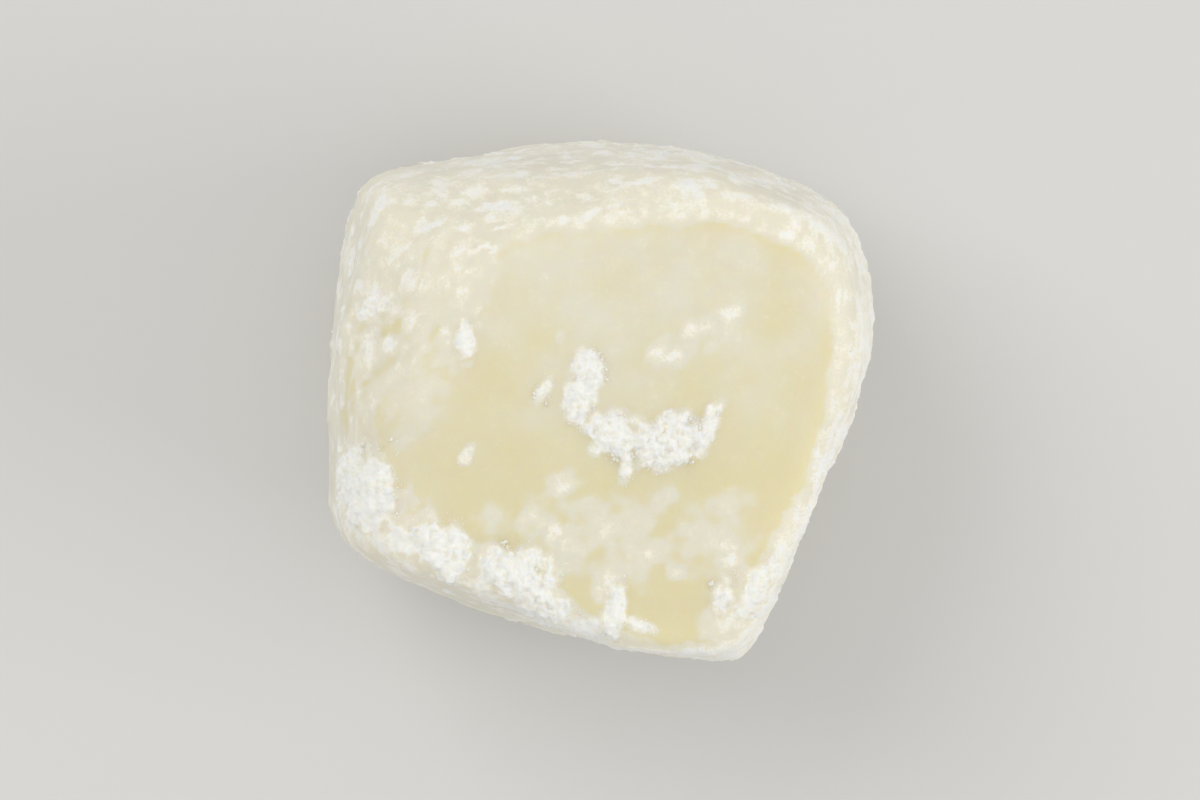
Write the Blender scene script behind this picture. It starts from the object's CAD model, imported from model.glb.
"""The looks of one mini mochi: translucent rice dough, its coat of starch, and loose crumbs of it.

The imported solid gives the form. Its skin is read onto a fine even grid, its facets are smoothed
out, and the finer relief goes on top: the lip of the cut, the folds beside it, and the starch, which
lies as a film, as a crust and in clumps. Shapes are worked out in millimetres, in the part's own
frame, and are scaled to metres when a mesh is made.
"""

import math
from collections import namedtuple

import bmesh
import bpy
import numpy as np
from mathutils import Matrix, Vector, noise
from mathutils.bvhtree import BVHTree


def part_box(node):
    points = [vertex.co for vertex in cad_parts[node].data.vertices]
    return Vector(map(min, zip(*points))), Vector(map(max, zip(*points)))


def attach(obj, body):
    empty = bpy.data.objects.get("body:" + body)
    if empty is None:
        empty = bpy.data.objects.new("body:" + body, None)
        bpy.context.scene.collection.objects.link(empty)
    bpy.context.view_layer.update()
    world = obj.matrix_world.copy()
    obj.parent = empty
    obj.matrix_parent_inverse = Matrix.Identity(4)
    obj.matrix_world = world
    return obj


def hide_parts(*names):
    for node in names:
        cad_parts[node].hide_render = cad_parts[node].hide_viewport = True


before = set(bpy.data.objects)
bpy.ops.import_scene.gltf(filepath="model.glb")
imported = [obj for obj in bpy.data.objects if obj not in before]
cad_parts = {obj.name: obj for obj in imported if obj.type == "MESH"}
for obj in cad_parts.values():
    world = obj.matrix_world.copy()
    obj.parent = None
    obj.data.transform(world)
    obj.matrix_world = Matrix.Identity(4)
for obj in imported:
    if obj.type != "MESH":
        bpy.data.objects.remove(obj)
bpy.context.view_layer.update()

MM = 0.001
LOW, HIGH = (np.array(corner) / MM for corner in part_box("mochi"))
SIZE = HIGH - LOW
CORE = (LOW + HIGH) / 2

# ---------------------------------------------------------------- camera, light and floor

CAMERA_HEIGHT = 0.5  # metres above the piece
FRAME_SHAPE = 1200 / 800
FILL = 0.66  # the share of the picture's height that the piece takes
SURROUND_STRENGTH = 0.69  # of the even white light from all round
LIGHT_DISTANCE, LIGHT_SIZE, LIGHT_POWER = 0.5, 0.30, 0.68  # of each soft light, in metres and watts
FLOOR_HALF = 3.0  # metres from the piece to the floor's edge
FLOOR_GREY = (0.68, 0.67, 0.65, 1)


def set_camera():
    """Looks straight down on the piece, with +Y at the top of the picture."""
    data = bpy.data.cameras.new("camera")
    seen_width = SIZE[1] * MM / FILL * FRAME_SHAPE
    data.lens = CAMERA_HEIGHT / seen_width * data.sensor_width
    data.clip_start = CAMERA_HEIGHT / 10
    camera = bpy.data.objects.new("camera", data)
    camera.location = (0, 0, HIGH[2] * MM + CAMERA_HEIGHT)
    bpy.context.scene.collection.objects.link(camera)
    bpy.context.scene.camera = camera


def softbox(name, azimuth, elevation):
    """A square soft light that looks at the piece from that direction, in degrees."""
    a, e = math.radians(azimuth), math.radians(elevation)
    back = Vector((math.cos(a) * math.cos(e), math.sin(a) * math.cos(e), math.sin(e)))
    data = bpy.data.lights.new(name, "AREA")
    data.size = LIGHT_SIZE
    data.energy = LIGHT_POWER
    light = bpy.data.objects.new(name, data)
    light.location = back * LIGHT_DISTANCE
    light.rotation_euler = back.to_track_quat("Z", "Y").to_euler()
    bpy.context.scene.collection.objects.link(light)


def light_studio():
    """An even white surround and two soft lights, from the upper left and the right."""
    world = bpy.data.worlds.new("studio")
    world.use_nodes = True
    surround = world.node_tree.nodes["Background"]
    surround.inputs["Color"].default_value = (1, 1, 1, 1)
    surround.inputs["Strength"].default_value = SURROUND_STRENGTH
    bpy.context.scene.world = world
    bpy.context.scene.view_settings.view_transform = "Standard"
    softbox("key", azimuth=140, elevation=55)
    softbox("fill", azimuth=-12, elevation=30)


def lay_floor():
    """A plain pale floor under the piece."""
    mesh = bpy.data.meshes.new("floor")
    corners = [(x * FLOOR_HALF, y * FLOOR_HALF, 0) for x, y in ((-1, -1), (1, -1), (1, 1), (-1, 1))]
    mesh.from_pydata(corners, [], [(0, 1, 2, 3)])
    finish = Finish("pale_floor")
    finish.show(finish.skin({"Base Color": FLOOR_GREY, "Roughness": 0.9}))
    mesh.materials.append(finish.material)
    floor = bpy.data.objects.new("floor", mesh)
    bpy.context.scene.collection.objects.link(floor)


# ---------------------------------------------------------------- shader sums


class Wire:
    """One output of a shader node. Arithmetic on it adds Math nodes."""

    def __init__(self, finish, socket):
        self.finish = finish
        self.socket = socket

    def math(self, operation, first, second):
        """A Math node on two wires or numbers."""
        return self.finish.add("ShaderNodeMath", {"operation": operation}, {0: first, 1: second})

    def __add__(self, other):
        return self.math("ADD", self, other)

    __radd__ = __add__

    def __sub__(self, other):
        return self.math("SUBTRACT", self, other)

    def __rsub__(self, other):
        return self.math("SUBTRACT", other, self)

    def __mul__(self, other):
        return self.math("MULTIPLY", self, other)

    __rmul__ = __mul__

    def clear_of(self, low, high):
        """0 below low and 1 above high, with a soft start and end."""
        settings = {"interpolation_type": "SMOOTHSTEP"}
        sockets = {"Value": self, "From Min": low, "From Max": high}
        return self.finish.add("ShaderNodeMapRange", settings, sockets)


class Finish:
    """A material that is being built, node by node."""

    def __init__(self, name):
        self.material = bpy.data.materials.new(name)
        self.material.use_nodes = True
        self.tree = self.material.node_tree
        self.tree.nodes.clear()
        self.output = self.tree.nodes.new("ShaderNodeOutputMaterial")

    def add(self, kind, settings, sockets, output=0):
        """Adds a node: its settings first, then a value or a wire for each named socket."""
        node = self.tree.nodes.new(kind)
        for name, value in settings.items():
            setattr(node, name, value)
        for name, value in sockets.items():
            if isinstance(value, Wire):
                self.tree.links.new(value.socket, node.inputs[name])
            else:
                node.inputs[name].default_value = value
        return Wire(self, node.outputs[output])

    def place(self):
        """Where the surface is, in millimetres."""
        spot = self.add("ShaderNodeTexCoord", {}, {}, "Object")
        return self.add("ShaderNodeVectorMath", {"operation": "SCALE"}, {0: spot, "Scale": 1 / MM})

    def cloud(self, place, size, detail=3.0, roughness=0.55):
        """Uneven patches of about that size, between 0 and 1."""
        sockets = {"Vector": place, "Scale": 1 / size, "Detail": detail, "Roughness": roughness}
        return self.add("ShaderNodeTexNoise", {"noise_dimensions": "3D"}, sockets)

    def mixed(self, share, first, second):
        """A colour between two others."""
        sockets = {"Factor": share, "A": first, "B": second}
        return self.add("ShaderNodeMix", {"data_type": "RGBA"}, sockets, "Result")

    def bumped(self, height, depth):
        """The normal under that relief, whose depth is in millimetres."""
        sockets = {"Height": height, "Distance": depth * MM, "Strength": 1.0}
        return self.add("ShaderNodeBump", {}, sockets)

    def skin(self, sockets):
        """The shader of a surface, with those values and wires in its sockets."""
        return self.add("ShaderNodeBsdfPrincipled", {}, sockets)

    def show(self, shader):
        """Puts that shader on the material's surface."""
        self.tree.links.new(shader.socket, self.output.inputs["Surface"])


# ---------------------------------------------------------------- the dough's skin

GRID = 104  # quads along each edge of the cube that the skin's directions come from
HEAP_CUTS = 2  # how often the quads are cut across where starch is heaped
SMOOTHING = 12  # rounds of smoothing, which take out the solid's facets
CUT_SMOOTHING = 160  # rounds on the cut face, which also take out its clumps, as finer ones go on
CUT_EDGE = (0.1, 1.3)  # how far inside the lip that starts, and is done in full
FADE, FINER = 0.8, 2.1  # how fast noise's finer octaves fade, and how much finer each one is
LUMP_REACH = 0.75  # how far a lump reaches from its middle, as a share of its size
# How far starch may lie outside the solid's box, below it and above it along each axis.
OUTSIDE = np.array(((0.1, 0.1, 0), (0.1, 0.1, 0.15)))


def grid_on_solid():
    """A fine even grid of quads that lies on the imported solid, seen from its core."""
    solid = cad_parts["mochi"].data
    corners = [vertex.co / MM for vertex in solid.vertices]
    tree = BVHTree.FromPolygons(corners, [face.vertices for face in solid.polygons])
    core = Vector(CORE)
    grid = bmesh.new()
    bmesh.ops.create_cube(grid, size=2)
    bmesh.ops.subdivide_edges(grid, edges=grid.edges, cuts=GRID - 1, use_grid_fill=True)
    for vertex in grid.verts:
        direction = Vector(math.tan(c * math.pi / 4) for c in vertex.co).normalized()
        vertex.co = tree.ray_cast(core, direction)[0]
    mesh = bpy.data.meshes.new("skin")
    grid.to_mesh(mesh)
    grid.free()
    return mesh


def read(collection, name, width=3):
    """One property of all of a mesh's vertices or edges, as rows of numbers."""
    values = np.empty(len(collection) * width, np.float32 if name != "vertices" else np.int32)
    collection.foreach_get(name, values)
    return values.reshape(-1, width)


def write_points(mesh, points):
    """Puts all of a mesh's points there."""
    mesh.vertices.foreach_set("co", points.astype(np.float32).ravel())
    mesh.update()


def smoothed(points, edges, rounds):
    """Each point is moved half the way to the middle of its neighbours, round after round."""
    first, second = edges.T
    count = np.bincount(edges.ravel(), minlength=len(points))
    for _ in range(rounds):
        middle = np.stack(
            [
                np.bincount(first, points[second, axis], len(points))
                + np.bincount(second, points[first, axis], len(points))
                for axis in range(3)
            ],
            axis=1,
        )
        points = (points + middle / count[:, None]) / 2
    return points


def step(low, high, value):
    """0 at low and 1 at high, with a soft start and end."""
    t = np.clip((value - low) / (high - low), 0, 1)
    return t * t * (3 - 2 * t)


def cloudy(points, size, octaves=1, shift=0.0):
    """Smooth noise at each point, about -1 to 1, with bumps of that size in millimetres."""
    offset = Vector((shift, 2 * shift, 3 * shift))
    return np.array([noise.fractal(Vector(p) + offset, FADE, FINER, octaves) for p in points / size])


def lumpy(points, size):
    """Rounded lumps at each point, 0 in the gaps between them and 1 on top."""
    near = np.array([noise.voronoi(Vector(p))[0][0] for p in points / size])
    return 1 - np.clip(near / LUMP_REACH, 0, 1) ** 2


# ---------------------------------------------------------------- where the starch lies

# The lip of the upper cut, seen from above: the bare dough lies inside it.
LIP = (
    (-2.3, 4.6), (0.0, 4.95), (2.1, 5.0), (4.0, 4.9), (5.5, 4.25), (6.45, 3.3), (6.65, 2.0),
    (6.5, 0.2), (6.2, -1.4), (5.6, -2.8), (4.9, -4.0), (4.5, -5.4), (3.6, -6.8), (1.5, -6.9),
    (-0.2, -6.3), (-1.5, -5.2), (-2.6, -4.8), (-3.7, -4.7), (-4.9, -3.9), (-6.1, -2.8),
    (-6.4, -1.6), (-6.4, -0.6), (-5.4, 0.2), (-4.4, 1.0), (-3.8, 2.2), (-3.4, 3.6),
)  # fmt: skip

LIP_LEVEL = 11.6  # the height of the lowest stretch of the lip, in millimetres

# How the starch lies round the lip, by azimuth: how white the line beside it is and how far out it
# lies, in millimetres, how white the film beyond the lip and the wall below are, and how far the
# edge between bare dough and starch frays, in millimetres.
Rim = namedtuple("Rim", "azimuth line out film wall fray")
RIMS = (
    Rim(azimuth=-172, line=0.2, out=0.3, film=0.27, wall=0.42, fray=0.8),
    Rim(azimuth=-158, line=0.5, out=0.4, film=0.48, wall=0.50, fray=0.5),
    Rim(azimuth=-125, line=0.5, out=0.4, film=0.44, wall=0.55, fray=0.4),
    Rim(azimuth=-85, line=1.0, out=0.4, film=0.84, wall=0.68, fray=0.2),
    Rim(azimuth=-50, line=0.95, out=0.5, film=0.66, wall=0.62, fray=0.3),
    Rim(azimuth=-15, line=1.0, out=0.9, film=0.78, wall=0.86, fray=0.15),
    Rim(azimuth=30, line=0.85, out=1.2, film=0.48, wall=0.78, fray=0.12),
    Rim(azimuth=85, line=0.6, out=0.25, film=0.52, wall=0.56, fray=0.12),
    Rim(azimuth=125, line=0.4, out=0.25, film=0.47, wall=0.52, fray=0.4),
    Rim(azimuth=165, line=0.2, out=0.3, film=0.29, wall=0.42, fray=1.0),
)
LINE_WIDTH = 0.32  # the half width of the white line
FILM_REACH = (4.0, 1.5)  # how far beyond the lip the film has run over into the wall, and starts to

# What makes the starch on the skin uneven, and how much whiter each makes it: slow changes, creases
# beside the lip, blotches, streaks that run round the piece, and dabs with crisp edges.
Uneven = namedtuple("Uneven", "coarse folds blotchy streaks dabs")
ON_FILM = Uneven(coarse=0, folds=0.2, blotchy=0.14, streaks=0.45, dabs=0.3)
ON_WALL = Uneven(coarse=0.35, folds=0, blotchy=0.25, streaks=0, dabs=0.5)
THINNED = 0.12  # taken off everywhere, as all of these add to it
LEAST_ON_WALL = 0.14

# Starch on and beside the cut face: middle, length and width in millimetres, turn in degrees, how
# white it is, and how far it stands up. First the clumps and the crust along the lip.
Patch = namedtuple("Patch", "x y length width turn amount rise")
CLUMPS = (
    Patch(x=-0.3, y=0.8, length=1.0, width=0.9, turn=60, amount=1.0, rise=0.20),
    Patch(x=-0.6, y=0.0, length=1.2, width=0.8, turn=75, amount=1.0, rise=0.16),
    Patch(x=0.3, y=-1.0, length=1.4, width=1.1, turn=-35, amount=1.0, rise=0.20),
    Patch(x=0.75, y=-1.8, length=0.9, width=0.4, turn=85, amount=0.9, rise=0.10),
    Patch(x=2.0, y=-1.2, length=2.1, width=1.3, turn=18, amount=1.0, rise=0.26),
    Patch(x=3.1, y=-0.7, length=1.3, width=0.5, turn=75, amount=0.9, rise=0.14),
    Patch(x=-1.6, y=0.3, length=0.8, width=0.4, turn=62, amount=0.75, rise=0.06),
    Patch(x=-3.8, y=1.6, length=1.0, width=0.5, turn=85, amount=1.0, rise=0.10),
    Patch(x=-3.8, y=-1.6, length=0.6, width=0.4, turn=60, amount=0.6, rise=0.03),
    Patch(x=-6.5, y=2.6, length=0.9, width=0.7, turn=30, amount=1.0, rise=0.08),
    Patch(x=-6.7, y=-2.6, length=2.3, width=1.6, turn=100, amount=1.0, rise=0.16),
    Patch(x=-5.7, y=-4.0, length=1.5, width=0.9, turn=-40, amount=0.6, rise=0.06),
    Patch(x=-4.5, y=-4.3, length=1.9, width=1.3, turn=-55, amount=1.0, rise=0.16),
    Patch(x=-2.4, y=-4.9, length=1.9, width=1.3, turn=-10, amount=1.0, rise=0.20),
    Patch(x=-1.7, y=-5.7, length=1.8, width=1.0, turn=-35, amount=1.0, rise=0.16),
    Patch(x=-3.4, y=-5.3, length=1.2, width=0.6, turn=-30, amount=0.65, rise=0.05),
    Patch(x=-0.4, y=-6.5, length=1.6, width=0.7, turn=-20, amount=0.8, rise=0.06),
    Patch(x=0.4, y=-6.1, length=1.3, width=0.6, turn=82, amount=1.0, rise=0.12),
    Patch(x=1.1, y=-6.4, length=0.8, width=0.4, turn=-15, amount=0.9, rise=0.06),
    Patch(x=3.5, y=-5.6, length=1.2, width=0.6, turn=75, amount=0.85, rise=0.06),
    Patch(x=4.5, y=-5.3, length=1.8, width=0.7, turn=62, amount=0.9, rise=0.08),
)
# Then the haze of dust, too thin to hide the dough.
HAZE = (
    Patch(x=1.9, y=1.3, length=1.2, width=1.0, turn=60, amount=0.58, rise=0),
    Patch(x=2.9, y=1.9, length=1.3, width=1.0, turn=35, amount=0.62, rise=0),
    Patch(x=3.7, y=2.3, length=1.0, width=0.9, turn=70, amount=0.58, rise=0),
    Patch(x=-1.1, y=1.9, length=0.9, width=0.5, turn=80, amount=0.35, rise=0),
    Patch(x=-1.0, y=-2.4, length=1.3, width=0.9, turn=10, amount=0.42, rise=0),
    Patch(x=0.0, y=-3.9, length=5.6, width=2.6, turn=-8, amount=0.26, rise=0),
    Patch(x=3.2, y=-3.9, length=3.2, width=2.2, turn=40, amount=0.24, rise=0),
    Patch(x=-2.1, y=-3.3, length=0.8, width=0.6, turn=30, amount=0.38, rise=0),
    Patch(x=-1.5, y=-3.8, length=1.1, width=0.7, turn=20, amount=0.56, rise=0),
    Patch(x=-0.7, y=-4.2, length=1.0, width=0.7, turn=-30, amount=0.48, rise=0),
    Patch(x=0.3, y=-3.8, length=1.2, width=0.8, turn=60, amount=0.58, rise=0),
    Patch(x=1.4, y=-4.3, length=1.2, width=0.8, turn=45, amount=0.56, rise=0),
    Patch(x=2.1, y=-4.9, length=1.0, width=0.6, turn=20, amount=0.50, rise=0),
    Patch(x=1.8, y=-2.9, length=1.0, width=0.7, turn=60, amount=0.36, rise=0),
    Patch(x=2.8, y=-3.6, length=0.9, width=0.6, turn=30, amount=0.42, rise=0),
    Patch(x=3.7, y=-4.3, length=1.1, width=0.8, turn=70, amount=0.58, rise=0),
    Patch(x=3.9, y=-5.9, length=2.3, width=2.0, turn=60, amount=0.55, rise=0),
    Patch(x=0.2, y=-5.2, length=1.4, width=0.9, turn=70, amount=0.52, rise=0),
    Patch(x=-4.2, y=2.6, length=4.8, width=2.6, turn=70, amount=0.28, rise=0),
    Patch(x=-5.2, y=-0.2, length=3.0, width=1.8, turn=60, amount=0.20, rise=0),
)
VEIL = 0.16  # the dust all over the upper half of the cut face
VEIL_EDGE = (-5.5, 3.5)  # it grows from nothing to its full amount between these, along Y
SHOULDER = (9.2, 10.6)  # between these heights, in millimetres, clumps and haze thin out downwards
# Where each kind fades in, from nothing to all of it, on the way in from its patch's edge at 1.
HEAP_FADE, CLUMP_FADE, HAZE_FADE = (1.3, 0.2), (1.5, 0.7), (1.5, 0.0)

# How the surface stands up, in millimetres: the white line, the creases beside the lip, the dimples
# of bare dough, and the crust's lumps, which start below the skin and are higher on the walls.
LINE_RISE, CREASE_RISE, DIMPLE_RISE = 0.07, 0.03, 0.012
CRUST_RISE, CRUST_START, WALL_TIMES = 0.1, -0.04, 1.7
LINE_LOOSE, STARCH_LOOSE = 0.1, 0.012  # how loose the line is, and starch that clings
DROP = 0.9  # how far beyond the lip a spot counts for each millimetre that it lies below it


def smooth_loop(points, parts=6):
    """A closed curve through the points, each stretch in that many straight parts."""
    p = np.array(points)
    before, after, next_after = (np.roll(p, shift, axis=0) for shift in (1, -1, -2))
    t = (np.arange(parts) / parts)[None, :, None]
    curve = 0.5 * (
        2 * p[:, None]
        + (after - before)[:, None] * t
        + (2 * before - 5 * p + 4 * after - next_after)[:, None] * t**2
        + (3 * p - before - 3 * after + next_after)[:, None] * t**3
    )
    return curve.reshape(-1, 2)


def depth_inside(loop, spots):
    """How far each spot lies inside a closed loop: below 0 outside it."""
    nearest = np.full(len(spots), np.inf)
    turns = np.zeros(len(spots))
    for a, b in zip(loop, np.roll(loop, -1, axis=0)):
        along = np.clip(((spots - a) @ (b - a)) / ((b - a) @ (b - a)), 0, 1)
        nearest = np.minimum(nearest, np.hypot(*(spots - a - along[:, None] * (b - a)).T))
        to_a, to_b = a - spots, b - spots
        turns += np.arctan2(to_a[:, 0] * to_b[:, 1] - to_a[:, 1] * to_b[:, 0], (to_a * to_b).sum(1))
    return np.where(np.abs(turns) > math.pi, nearest, -nearest)


def round_the_rim(azimuth, name):
    """One of the rims' values at each azimuth, in degrees, run smoothly into the next."""
    at = [rim.azimuth for rim in RIMS]
    return np.interp(azimuth, at, [getattr(rim, name) for rim in RIMS], period=360)


def inside_lip(points):
    """How far inside the lip of the upper cut each point lies, below 0 on the skin beside it."""
    from_above = depth_inside(smooth_loop(LIP), points[:, :2])
    return from_above - DROP * np.clip(LIP_LEVEL - points[:, 2], 0, None)


def out_from(patch, x, y):
    """How far out each spot lies from the middle of a patch: 1 on its edge."""
    turn = math.radians(patch.turn)
    long = ((x - patch.x) * math.cos(turn) + (y - patch.y) * math.sin(turn)) / patch.length
    wide = ((y - patch.y) * math.cos(turn) - (x - patch.x) * math.sin(turn)) / patch.width
    return 2 * np.hypot(long, wide)


def heap_height(points, ragged):
    """How high the clumps and the crust stand at each point, in millimetres, without their grain."""
    x, y, _ = points.T
    height = np.zeros(len(points))
    for patch in CLUMPS:
        spread = out_from(patch, x, y) - 0.45 * ragged
        height = np.maximum(height, patch.rise * step(*HEAP_FADE, spread))
    return height * step(*SHOULDER, points[:, 2])


def drawn_out(across, along, width, length, shift=0.0):
    """Noise at each point, with bumps of that width across the rim and that length along it."""
    spots = np.stack([across / width, along / length, np.zeros(len(across))], axis=1)
    return cloudy(spots, 1.0, 2, shift)


def uneven(base, weights, patterns):
    """A value at each point with its unevenness laid on."""
    for weight, pattern in zip(weights, patterns):
        base = base + weight * pattern
    return base


def starch_on(points):
    """How the starch lies at each point of the skin.

    The first array is how much there is, from 0 to 1, the second how far the surface stands up
    there, in millimetres, and the third how loose the starch is, from 0 to 1.
    """
    x, y, z = points.T
    azimuth = np.degrees(np.arctan2(y, x))
    coarse, blotchy, ragged = (cloudy(points, size, 2, size) for size in (2.2, 1.2, 0.6))
    inside = inside_lip(points)
    upper = step(*SHOULDER, z)

    # The skin beyond the lip, with its film and its walls.
    fray = round_the_rim(azimuth, "fray")
    frayed = inside + fray * ragged
    on_skin = step(0.1 + 0.6 * fray, -0.2 - 0.6 * fray, frayed)
    beyond = np.clip(-inside, 0, None)
    beside_lip = step(*FILM_REACH, beyond)
    along = np.radians(azimuth) * SIZE[0] / 2
    outward = np.hypot(x, y) - z
    folds = drawn_out(beyond, along, 0.4, 1.7)
    streaks = step(0.1, 0.45, drawn_out(outward, along, 0.55, 1.1, 4.0))
    dabs = step(0.15, 0.4, cloudy(points, 0.7, 2, 4.0))
    patterns = Uneven(coarse, folds, blotchy, streaks, dabs)
    film = uneven(round_the_rim(azimuth, "film") - THINNED, ON_FILM, patterns)
    wall = uneven(round_the_rim(azimuth, "wall") - THINNED, ON_WALL, patterns)
    wall = np.clip(wall, LEAST_ON_WALL, 1)
    starch = on_skin * np.clip(film * beside_lip + wall * (1 - beside_lip), 0, 1)

    # The white line round the lip.
    line = np.exp(-(((frayed + round_the_rim(azimuth, "out")) / LINE_WIDTH) ** 2))
    line = line * round_the_rim(azimuth, "line") * np.clip(0.9 + 0.5 * blotchy, 0, 1)
    starch = np.maximum(starch, line)
    loose = LINE_LOOSE * line + STARCH_LOOSE * starch

    # Dust on the cut face.
    dusty = VEIL * step(*VEIL_EDGE, y) * (1 + 0.4 * blotchy) * step(-0.5, 0.5, inside)
    mottled = np.clip(1 + 0.9 * ragged + 0.6 * cloudy(points, 0.3), 0.2, 1.6)
    for patch in HAZE:
        spread = out_from(patch, x, y) - 0.3 * blotchy - 0.25 * ragged
        dusty = np.maximum(dusty, patch.amount * mottled * step(*HAZE_FADE, spread) * upper)
    starch = np.maximum(starch, dusty)

    # The clumps, with loose crumbs round them.
    for patch in CLUMPS:
        spread = out_from(patch, x, y) - 0.6 * ragged
        fringe = step(1.9, 1.2, spread) ** 2 * step(0.5, 1.1, spread)
        starch = np.maximum(starch, patch.amount * step(*CLUMP_FADE, spread) * upper)
        loose = np.maximum(loose, patch.amount * fringe * step(-0.8, 0.1, inside))

    # How all of it stands up.
    fine = cloudy(points, 0.2, 3)
    powder = 0.5 * lumpy(points, 0.45) + 0.3 * lumpy(points, 0.2) + 0.3 * fine
    heap = heap_height(points, ragged + 0.5 * fine)
    starch = np.maximum(starch, step(0.0, 0.06, heap))
    crust = step(0.35, 0.85, starch)
    times = WALL_TIMES + (1 - WALL_TIMES) * beside_lip
    height = np.maximum(LINE_RISE * line, heap * (0.6 + 0.6 * powder))
    height = height + crust * (CRUST_RISE * powder + CRUST_START) * times
    height = height + CREASE_RISE * beside_lip * on_skin * folds + DIMPLE_RISE * ragged * (1 - crust)
    return np.clip(starch, 0, 1), height, loose


def points_and_normals(mesh):
    """Where the mesh's points are, and which way its surface looks there."""
    return read(mesh.vertices, "co").astype(float), read(mesh.vertex_normals, "vector").astype(float)


def cut_finer(mesh, wanted):
    """Cuts the quads across wherever one of their points is wanted."""
    grid = bmesh.new()
    grid.from_mesh(mesh)
    near = {edge for vertex, want in zip(grid.verts, wanted) if want for edge in vertex.link_edges}
    bmesh.ops.subdivide_edges(grid, edges=list(near), cuts=HEAP_CUTS, use_grid_fill=True)
    grid.to_mesh(mesh)
    grid.free()


def smooth_skin():
    """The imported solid's skin on the fine grid, without its facets, and finer under the heaps."""
    mesh = grid_on_solid()
    edges = read(mesh.edges, "vertices", 2)
    points = smoothed(read(mesh.vertices, "co").astype(float), edges, SMOOTHING)
    on_cut = step(*CUT_EDGE, inside_lip(points))[:, None]
    points = points + on_cut * (smoothed(points, edges, CUT_SMOOTHING) - points)
    write_points(mesh, points)
    cut_finer(mesh, heap_height(points, cloudy(points, 0.6, 2)) > 0)
    return mesh


def piece_of(mesh, points, material):
    """An object of the mesh with its points put there, in that material, riding on the part."""
    write_points(mesh, np.clip(points, LOW - OUTSIDE[0], HIGH + OUTSIDE[1]) * MM)
    mesh.shade_smooth()
    mesh.materials.append(material)
    piece = bpy.data.objects.new(mesh.name, mesh)
    bpy.context.scene.collection.objects.link(piece)
    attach(piece, "root")
    return piece


def dough_body(skin):
    """The body of the piece with the starch that clings to it, and how loose the starch is.

    The amount of starch is kept as an attribute of the points.
    """
    points, normals = points_and_normals(skin)
    starch, height, loose = starch_on(points)
    mesh = skin.copy()
    mesh.name = "dough"
    amount = mesh.attributes.new("starch", "FLOAT", "POINT")
    amount.data.foreach_set("value", starch.astype(np.float32))
    return piece_of(mesh, points + normals * height[:, None], starched_dough()), loose


# ---------------------------------------------------------------- loose starch

Grain = namedtuple("Grain", "name count smallest largest rings seed")
CRUMBS = Grain("starch_crumbs", count=500, smallest=0.03, largest=0.10, rings=2, seed=3)
DUST = Grain("starch_dust", count=3000, smallest=0.014, largest=0.03, rings=1, seed=4)
SHAPES = 16  # the different lumps that the grains of one kind are made from
KNOBBLY, ROUGH, THINNEST = 1.3, 0.14, 0.45  # each as a share of a lump's radius
SUNK = 0.6  # how deep a grain lies in the starch, as a share of its radius
JITTER = 0.06  # how far a grain may lie from a point of the skin, in millimetres
CLUSTER_SIZE, STRAY = 0.7, 0.0002  # the grains' clusters, and the odd one where no starch is loose


def lump_shapes(rings, count, draw):
    """A few knobbly little lumps of radius 1, and the faces that they share."""
    ball = bmesh.new()
    bmesh.ops.create_icosphere(ball, subdivisions=rings, radius=1)
    points = np.array([v.co for v in ball.verts])
    faces = np.array([[v.index for v in f.verts] for f in ball.faces])
    ball.free()
    shapes = []
    for k in range(count):
        knobs = np.array([noise.noise(Vector(p) * 1.7 + Vector((7.0 * k, 0, 0))) for p in points])
        knobbly = points * (1 + KNOBBLY * knobs[:, None])
        rough = knobbly + draw.uniform(-ROUGH, ROUGH, points.shape)
        shapes.append(rough * draw.uniform(THINNEST, 1.0, 3))
    return np.array(shapes), faces


def turned(shapes, draw):
    """Each shape under a random turn."""
    spin = draw.normal(size=(len(shapes), 4))
    w, x, y, z = (spin / np.linalg.norm(spin, axis=1)[:, None]).T
    turn = np.array(
        [
            [1 - 2 * (y * y + z * z), 2 * (x * y - z * w), 2 * (x * z + y * w)],
            [2 * (x * y + z * w), 1 - 2 * (x * x + z * z), 2 * (y * z - x * w)],
            [2 * (x * z - y * w), 2 * (y * z + x * w), 1 - 2 * (x * x + y * y)],
        ]
    )
    return np.einsum("ijn,nkj->nki", turn, shapes)


def scatter(grain, skin, loose, material):
    """Grains of one kind, joined into one mesh: thick where the starch is loose, and sunk in it."""
    draw = np.random.default_rng(grain.seed)
    points, normals = points_and_normals(skin)
    clustered = 0.1 + step(0.0, 0.5, cloudy(points, CLUSTER_SIZE, 2, grain.seed))
    wanted = clustered * loose + STRAY
    spots = draw.choice(len(points), grain.count, p=wanted / wanted.sum())
    radius = grain.smallest * (grain.largest / grain.smallest) ** (draw.random(grain.count) ** 2)
    shapes, faces = lump_shapes(grain.rings, SHAPES, draw)
    lumps = turned(shapes[draw.integers(0, len(shapes), grain.count)], draw) * radius[:, None, None]
    jitter = draw.uniform(-JITTER, JITTER, (grain.count, 3))
    middles = points[spots] + jitter - normals[spots] * radius[:, None] * SUNK
    corners = faces[None] + (np.arange(grain.count) * shapes.shape[1])[:, None, None]
    mesh = bpy.data.meshes.new(grain.name)
    lumps = (lumps + middles[:, None]).reshape(-1, 3)
    mesh.from_pydata(lumps.tolist(), [], corners.reshape(-1, 3).tolist())
    return piece_of(mesh, lumps, material)


# ---------------------------------------------------------------- materials

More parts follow.
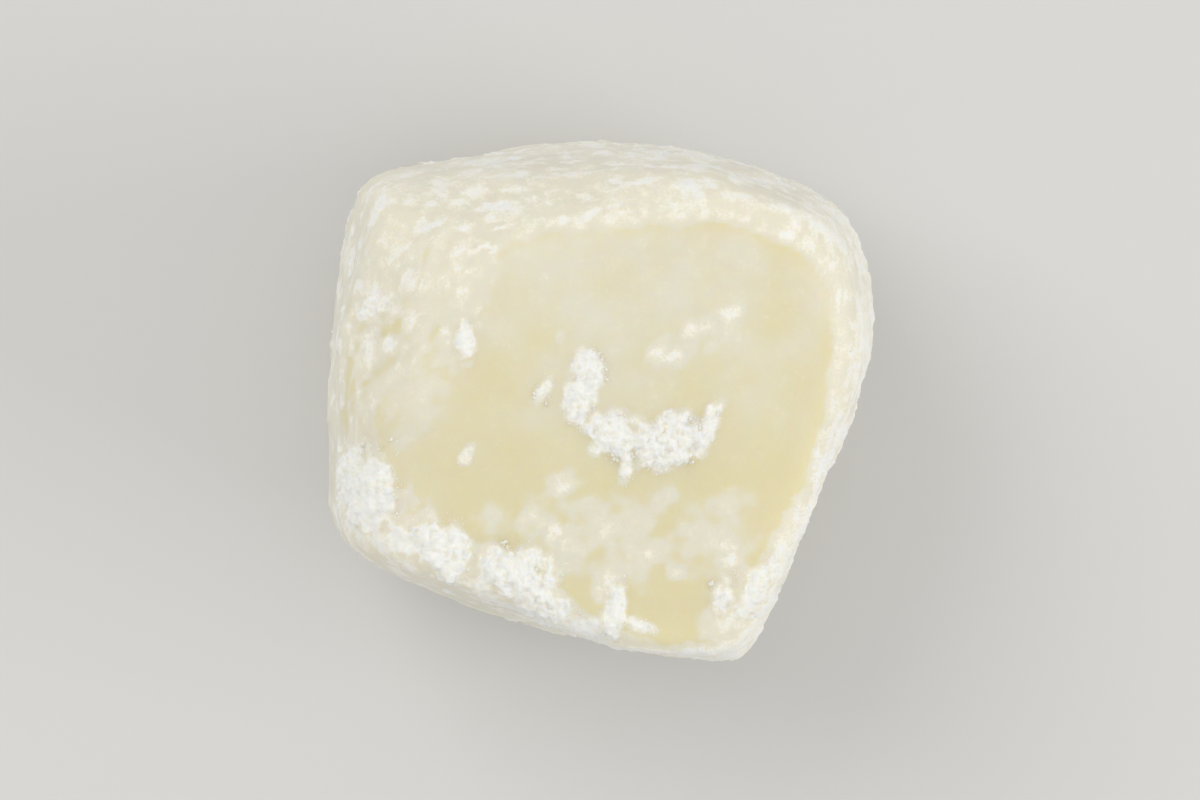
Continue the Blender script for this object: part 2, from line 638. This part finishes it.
DOUGH_CREAM = (0.78, 0.75, 0.625, 1)
DOUGH_YELLOW = (0.76, 0.70, 0.46, 1)
STARCH_WHITE = (0.96, 0.945, 0.895, 1)
STARCH_WARM = (0.93, 0.91, 0.83, 1)
STARCH_FILM = (0.895, 0.855, 0.72, 1)
DOUGH_DEPTH, STARCH_DEPTH = 1.6, 0.25  # how deep light sinks in, in millimetres
DOUGH_FILTER = (1.0, 0.75, 0.42)  # how far red, green and blue light go in the dough
STARCH_FILTER = (1.0, 0.9, 0.7)  # and in the starch
GRAIN_SIZE = 0.09  # of the starch's finest grain, in millimetres


def dry_starch(finish, colour, relief, depth):
    """The shader of dry matt starch, into which light sinks that deep, in millimetres."""
    return finish.skin(
        {
            "Base Color": colour,
            "Roughness": 0.95,
            "Specular IOR Level": 0.2,
            "Subsurface Weight": 1.0 if depth else 0.0,
            "Subsurface Radius": STARCH_FILTER,
            "Subsurface Scale": depth * MM,
            "Normal": relief,
        }
    )


def starched_dough():
    """Translucent dough with starch on it, by the amount that the points hold.

    Starch lies as a haze of separate grains where there is little, and closes up where there is
    more. Bare dough is the yellowest, and a thin film of starch is still a little yellow from it.
    """
    finish = Finish("starched_dough")
    place = finish.place()
    amount = finish.add("ShaderNodeAttribute", {"attribute_name": "starch"}, {}, "Fac")
    patches = finish.cloud(place, 0.45, detail=4, roughness=0.65)
    grains = finish.cloud(place, GRAIN_SIZE, detail=3, roughness=0.7)
    speckled = amount + (patches - 0.5) * 1.5 + (grains - 0.5) * 0.9
    closed = speckled.clear_of(0.4, 0.75) * 0.85
    haze = (amount + (patches - 0.5) * 1.2 + (grains - 0.5) * 0.6).clear_of(0.1, 0.8) * 0.6
    cover = closed + (1 - closed) * haze

    warmth = finish.cloud(place, 3.5)
    dusted = (amount * 4 + (warmth - 0.5) * 1.2).clear_of(0.1, 0.9)
    pores = finish.cloud(place, 0.5, detail=3)
    dough = finish.skin(
        {
            "Base Color": finish.mixed(dusted, DOUGH_YELLOW, DOUGH_CREAM),
            "Roughness": 0.45 + (pores - 0.5) * 0.3,
            "Subsurface Weight": 1.0,
            "Subsurface Radius": DOUGH_FILTER,
            "Subsurface Scale": DOUGH_DEPTH * MM,
            "IOR": 1.4,
            "Normal": finish.bumped(pores, 0.03),
        }
    )
    grainy = finish.mixed(grains.clear_of(0.3, 0.7), STARCH_WARM, STARCH_WHITE)
    starch = finish.mixed(speckled.clear_of(0.45, 1.0), STARCH_FILM, grainy)
    coat = dry_starch(finish, starch, finish.bumped(grains + patches * 0.8, 0.04), STARCH_DEPTH)
    finish.show(finish.add("ShaderNodeMixShader", {}, {0: cover, 1: dough, 2: coat}))
    return finish.material


def loose_starch():
    """The starch of the grains that lie on the coat."""
    finish = Finish("loose_starch")
    grains = finish.cloud(finish.place(), GRAIN_SIZE, detail=3, roughness=0.7)
    grainy = finish.mixed(grains.clear_of(0.3, 0.7), STARCH_WARM, STARCH_WHITE)
    finish.show(dry_starch(finish, grainy, finish.bumped(grains, 0.005), depth=0))
    return finish.material


# ---------------------------------------------------------------- the whole scene

set_camera()
light_studio()
lay_floor()

skin = smooth_skin()
dough, loose = dough_body(skin)
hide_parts("mochi")
dry = loose_starch()
for grain in (CRUMBS, DUST):
    scatter(grain, skin, loose, dry)
